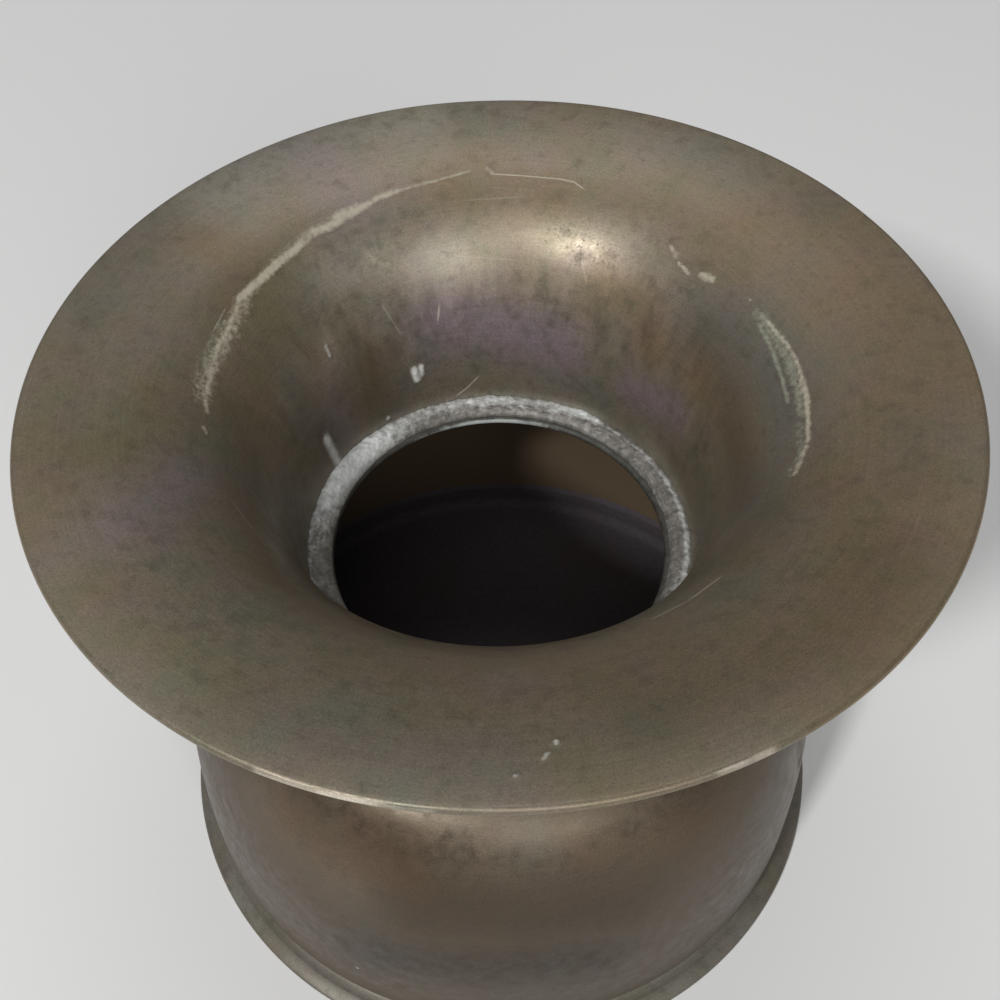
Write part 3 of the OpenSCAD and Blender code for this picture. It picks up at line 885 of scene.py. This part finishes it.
    # crusts: a brushed film whose edge and middle are broken up by noise, dull and not metal
    crumb = addNode(material, "ShaderNodeTexNoise", {}, {
        "Vector": place, "Scale": 1 / look["crumbSize"], "Detail": 5.0, "Roughness": 0.7}).outputs[0]
    for film, (tone, rag, start) in look["crusts"].items():
        painted = addNode(material, "ShaderNodeAttribute", {"attribute_name": film}, {}).outputs["Fac"]
        broken = addNode(material, "ShaderNodeMath", {"operation": "MULTIPLY_ADD"}, {
            0: crumb, 1: rag * 2, 2: painted}).outputs[0]
        cover = addNode(material, "ShaderNodeMapRange", {}, {
            "Value": broken, "From Min": start + rag, "From Max": start + rag + 0.5,
            "To Min": 0.0, "To Max": 0.9}).outputs[0]
        flecked = addNode(material, "ShaderNodeMix", {"data_type": "RGBA"}, {
            0: spots, 6: linear(tone), 7: linear(look["dark"])}).outputs[2]
        colour = addNode(material, "ShaderNodeMix", {"data_type": "RGBA"}, {
            0: cover, 6: colour, 7: flecked}).outputs[2]
        rough = addNode(material, "ShaderNodeMix", {"data_type": "FLOAT"}, {
            0: cover, 2: rough, 3: look["crustRough"]}).outputs[0]
        metal = addNode(material, "ShaderNodeMix", {"data_type": "FLOAT"}, {
            0: cover, 2: metal, 3: 0.0}).outputs[0]
    return closeMaterial(material, look, colour, metal, rough, height)


ringLook = dict(
    stops=[(0.38, "#5f5c57"), (0.5, "#75726c"), (0.62, "#8f8c86")], pale="#d9dbd9",
    crustSize=2.6 * mm, wipeGap=0.6 * mm, wipeLength=5 * mm, wiped=0.25, whiteFrom=1.05, whiteAt=1.9,
    roughness=0.55, metallic=0.35, relief=0.4, reliefDepth=0.4 * mm,
)
# seams out of sight stayed darker, and the collar has only a thin coat of tin, smooth and dark
seamLook = dict(ringLook, stops=[(0.3, "#4c4a45"), (0.5, "#62615c"), (0.7, "#777671")])
collarLook = dict(
    ringLook, stops=[(0.4, "#393834"), (0.5, "#46453f"), (0.6, "#54534d")], pale="#b4bbb8",
    crustSize=3.2 * mm, relief=0.15,
)


# tin-lead solder, wiped on and oxidised: pale grey, dull and grainy, whitest where it lies thick
def oxidisedSolder(name, look):
    material, place = startMaterial(name)
    crumb = addNode(material, "ShaderNodeTexNoise", {}, {
        "Vector": place, "Scale": 1 / look["crustSize"], "Detail": 6.0, "Roughness": 0.7}).outputs[0]
    wiped = drawnMarks(material, place, look["wipeGap"], look["wipeLength"], 4.0, 0.6)
    crust = addNode(material, "ShaderNodeMix", {"data_type": "FLOAT"}, {
        0: look["wiped"], 2: crumb, 3: wiped}).outputs[0]
    colour = addNode(material, "ShaderNodeValToRGB", {"stops": look["stops"]}, {"Fac": crust}).outputs[0]
    painted = addNode(material, "ShaderNodeAttribute", {"attribute_name": "pale"}, {}).outputs["Fac"]
    reached = addNode(material, "ShaderNodeMath", {"operation": "MULTIPLY_ADD"}, {
        0: crust, 1: 1.6, 2: painted}).outputs[0]
    white = addNode(material, "ShaderNodeMapRange", {}, {
        "Value": reached, "From Min": look["whiteFrom"], "From Max": look["whiteAt"],
        "To Min": 0.0, "To Max": 0.95}).outputs[0]
    colour = addNode(material, "ShaderNodeMix", {"data_type": "RGBA"}, {
        0: white, 6: colour, 7: linear(look["pale"])}).outputs[2]
    return closeMaterial(material, look, colour, look["metallic"], look["roughness"], crust)


# the blotches are a dozen grains wide
ironLook = dict(
    stops=[(0.35, "#2a2725"), (0.65, "#4a4744")], blotches="#4d3526", grainSize=1.4 * mm,
    blotchSize=16.8 * mm, roughness=0.75, metallic=0.6, relief=0.5, reliefDepth=0.4 * mm,
)
tarnishLook = dict(
    ironLook, stops=[(0.35, "#4f494e"), (0.65, "#5d575b")], blotches="#564c4b", grainSize=2.2 * mm,
    blotchSize=26.4 * mm, roughness=0.85, metallic=0.1,
)


# sand-cast iron, or brass that never saw a cloth: rough and dark, with blotches of rust or old dirt
def roughMetal(name, look):
    material, place = startMaterial(name)
    grain = addNode(material, "ShaderNodeTexNoise", {}, {
        "Vector": place, "Scale": 1 / look["grainSize"], "Detail": 6.0, "Roughness": 0.7}).outputs[0]
    blotch = addNode(material, "ShaderNodeTexNoise", {}, {
        "Vector": place, "Scale": 1 / look["blotchSize"], "Detail": 4.0, "Roughness": 0.6}).outputs[0]
    colour = addNode(material, "ShaderNodeValToRGB", {"stops": look["stops"]}, {"Fac": grain}).outputs[0]
    share = addNode(material, "ShaderNodeMapRange", {}, {
        "Value": blotch, "From Min": 0.5, "From Max": 0.65, "To Min": 0.0, "To Max": 0.6}).outputs[0]
    colour = addNode(material, "ShaderNodeMix", {"data_type": "RGBA"}, {
        0: share, 6: colour, 7: linear(look["blotches"])}).outputs[2]
    return closeMaterial(material, look, colour, look["metallic"], look["roughness"], grain)


finish(mouth, patinatedBrass("patinatedSpunBrassMouth", mouthLook), "mouth_brass", "mouth_funnel")
finish(bowl, patinatedBrass("patinatedSpunBrassBowl", bowlLook), "bowl_brass", "body_bowl")
finish(foot, patinatedBrass("patinatedSpunBrassFoot", footLook), "foot_brass", "foot_ring")
finish(collar, oxidisedSolder("tinnedBrassCollar", collarLook), "collar_brass", "throat_collar")
finish(solderRing, oxidisedSolder("oxidisedTinLeadSolder", ringLook), "solder", "throat_solder")
finish(rimWire, roughMetal("drawnIronWire", ironLook), "rim_wire", "rim_wire")
seamSolder = oxidisedSolder("dullSeamSolder", seamLook)
darkTarnish = roughMetal("darkTarnishedBrass", tarnishLook)
hiddenFinishes = dict(
    floor_pan=darkTarnish, floor_solder=darkTarnish, ballast_weight=roughMetal("sandCastIron", ironLook),
    base_plate=patinatedBrass("rubbedBrassBase", baseLook), foot_solder=seamSolder, base_solder=seamSolder,
)
for node, material in hiddenFinishes.items():
    setMaterial(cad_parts[node], material)
print("materials set")


# floor and light: a plain matt floor, a small lamp at the front left, soft panels around it and above,
# and a dim room
floorLook = dict(size=14.0, colour="#e1e1e0", roughness=0.9)
lampSetup = [
    dict(name="keyLamp", turn=234, height=43.5, distance=4.0, power=86, size=0.43),
    dict(name="frontPanel", turn=286, height=32, distance=4.5, power=66, size=2.2),
    dict(name="highPanel", turn=262, height=56, distance=4.0, power=15, size=2.0),
    dict(name="backPanel", turn=140, height=50, distance=4.0, power=6, size=1.6),
    dict(name="topPanel", turn=90, height=75, distance=4.0, power=26, size=2.0),
]
lampAim = 120 * mm
roomLight = dict(colour="#c9cacc", strength=0.22)


def makeFloor():
    half = floorLook["size"] / 2
    mesh = bpy.data.meshes.new("floor")
    corners = [(-half, -half, 0), (half, -half, 0), (half, half, 0), (-half, half, 0)]
    mesh.from_pydata(corners, [], [(0, 1, 2, 3)])
    floor = addObject("floor", mesh)
    material = bpy.data.materials.new("palePaintedFloor")
    material.use_nodes = True
    shader = material.node_tree.nodes["Principled BSDF"]
    shader.inputs["Base Color"].default_value = linear(floorLook["colour"])
    shader.inputs["Roughness"].default_value = floorLook["roughness"]
    mesh.materials.append(material)


def makeLight():
    for lamp in lampSetup:
        data = bpy.data.lights.new(lamp["name"], "AREA")
        data.energy, data.size = lamp["power"], lamp["size"]
        light = addObject(lamp["name"], data)
        turn, height = math.radians(lamp["turn"]), math.radians(lamp["height"])
        level = math.cos(height)
        toward = Vector((math.cos(turn) * level, math.sin(turn) * level, math.sin(height)))
        light.location = Vector((0, 0, lampAim)) + toward * lamp["distance"]
        light.rotation_euler = (-toward).to_track_quat("-Z", "Y").to_euler()
    world = bpy.data.worlds.new("softRoom")
    world.use_nodes = True
    world.node_tree.nodes["Background"].inputs["Color"].default_value = linear(roomLight["colour"])
    world.node_tree.nodes["Background"].inputs["Strength"].default_value = roomLight["strength"]
    bpy.context.scene.world = world


makeFloor()
makeLight()
bpy.context.scene.view_settings.view_transform = "Standard"
print("stage lit")
